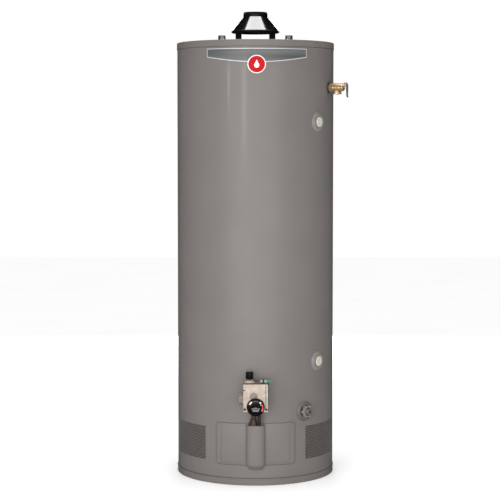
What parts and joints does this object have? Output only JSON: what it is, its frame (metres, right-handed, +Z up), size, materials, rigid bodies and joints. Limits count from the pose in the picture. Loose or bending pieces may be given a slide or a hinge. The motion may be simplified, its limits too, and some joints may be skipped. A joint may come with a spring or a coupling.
{
  "type": "tank water heater",
  "caption": "Tall floor-standing gas storage water heater with a round painted jacket, draft hood on legs, gas control with dial, relief valve, drain valve and a lift-off burner door.",
  "frame": {"origin": "on the tank's axis, in the plane of the floor", "axes": "+Z up along the tank's axis, -Y towards the front with the gas control, +X to the right of someone facing the front"},
  "size_m": [0.7304, 0.772, 1.969],
  "materials": {
    "taupe_paint": "satin",
    "enamel_steel": "matte",
    "black_gloss": "gloss",
    "black_plastic": "satin",
    "teal_plastic": "satin",
    "grey_plastic": "satin",
    "cream_plastic": "satin",
    "cast_aluminium": "satin",
    "plain_aluminium": "satin",
    "zinc_steel": "satin",
    "stainless_steel": "satin",
    "brass": "satin",
    "copper": "satin",
    "foam": "matte",
    "glass_fibre": "matte",
    "ceramic_tile": "matte",
    "clear_glass": "gloss",
    "badge_grey": "satin",
    "roundel_red": "gloss",
    "trap_plastic": "satin",
    "black_sleeve": "matte"
  },
  "bodies": {
    "root": {"outer_jacket": "taupe_paint", "jacket_top": "taupe_paint", "base_pan": "taupe_paint", "air_screen_left": "taupe_paint", "air_screen_right": "taupe_paint", "tank_shell": "enamel_steel", "tank_top_head": "enamel_steel", "tank_bottom_head": "enamel_steel", "flue_tube": "enamel_steel", "combustion_skirt": "enamel_steel", "inner_door": "enamel_steel", "draft_hood": "black_gloss", "hood_leg_front_right": "black_gloss", "hood_leg_back_right": "black_gloss", "hood_leg_back_left": "black_gloss", "hood_leg_front_left": "black_gloss", "igniter_barrel": "grey_plastic", "drain_escutcheon": "grey_plastic", "drain_valve_body": "grey_plastic", "lower_tap_escutcheon": "grey_plastic", "upper_tap_escutcheon": "grey_plastic", "lower_tap_plug": "cream_plastic", "upper_tap_plug": "cream_plastic", "gas_control_body": "cast_aluminium", "gas_control_cover": "cast_aluminium", "anode_rod": "plain_aluminium", "pilot_tube": "plain_aluminium", "cold_nipple": "zinc_steel", "hot_nipple": "zinc_steel", "relief_lever_pin": "zinc_steel", "flue_baffle": "stainless_steel", "burner": "stainless_steel", "pilot_assembly": "stainless_steel", "relief_spring": "stainless_steel", "relief_valve_body": "brass", "burner_supply_tube": "copper", "thermostat_probe": "copper", "relief_probe": "copper", "side_insulation": "foam", "top_insulation": "glass_fibre", "inner_door_gasket": "glass_fibre", "flame_arrestor": "ceramic_tile", "sight_glass": "clear_glass", "badge_strip": "badge_grey", "badge_roundel": "roundel_red", "dip_tube": "trap_plastic", "thermocouple_lead": "black_sleeve"},
    "access_door": {"access_door": "taupe_paint", "channel_cover": "taupe_paint", "door_screw_left": "zinc_steel", "door_screw_right": "zinc_steel"},
    "temperature_dial": {"temperature_dial": "black_plastic"},
    "gas_cock_stem": {"gas_cock_stem": "zinc_steel"},
    "gas_cock_knob": {"gas_cock_knob": "black_plastic"},
    "igniter_button": {"igniter_button": "teal_plastic"},
    "relief_lever": {"relief_lever": "zinc_steel"},
    "relief_stem": {"relief_stem": "brass"},
    "drain_handle": {"drain_handle": "grey_plastic"},
    "cold_trap_ball": {"cold_trap_ball": "trap_plastic"},
    "hot_trap_ball": {"hot_trap_ball": "trap_plastic"}
  },
  "joints": [
    {"name": "access_door_lift_off", "type": "slide", "parent": "root", "child": "access_door", "axis": [0, -1, 0], "range_m": [0, 0.08]},
    {"name": "temperature_dial_turn", "type": "hinge", "parent": "root", "child": "temperature_dial", "pos_m": [0, -0.418, 0.342], "axis": [0, -1, 0], "range_deg": [-120, 120]},
    {"name": "gas_cock_press", "type": "slide", "parent": "root", "child": "gas_cock_stem", "axis": [0, 0, -1], "range_m": [0, 0.004], "stiffness_N_per_m": 1500, "springref_m": -0.002},
    {"name": "gas_cock_turn", "type": "hinge", "parent": "gas_cock_stem", "child": "gas_cock_knob", "pos_m": [-0.025, -0.382, 0.467], "axis": [0, 0, 1], "range_deg": [0, 180]},
    {"name": "igniter_button_press", "type": "slide", "parent": "root", "child": "igniter_button", "axis": [-1, 0, 0], "range_m": [0, 0.006], "stiffness_N_per_m": 1500, "springref_m": -0.002},
    {"name": "relief_lever_lift", "type": "hinge", "parent": "root", "child": "relief_lever", "pos_m": [0.37649, -0.15981, 1.6615], "axis": [-0.3907, -0.9205, 0], "range_deg": [0, 70], "stiffness_Nm_per_rad": 1.5, "springref_deg": -17.19},
    {"name": "relief_stem_lift", "type": "slide", "parent": "root", "child": "relief_stem", "axis": [0.9205, -0.3907, 0], "range_m": [0, 0.006], "deforming": ["relief_spring"]},
    {"name": "drain_handle_turn", "type": "hinge", "parent": "root", "child": "drain_handle", "pos_m": [0.21428, -0.27926, 0.3], "axis": [0.6088, -0.7934, 0], "range_deg": [0, 360]},
    {"name": "cold_trap_float", "type": "slide", "parent": "root", "child": "cold_trap_ball", "axis": [0, 0, 1], "range_m": [0, 0.0055]},
    {"name": "hot_trap_float", "type": "slide", "parent": "root", "child": "hot_trap_ball", "axis": [0, 0, 1], "range_m": [0, 0.0055]}
  ],
  "couplings": [
    {"joint": "relief_stem_lift", "follows": "relief_lever_lift", "m_per_rad": 0.003683}
  ]
}
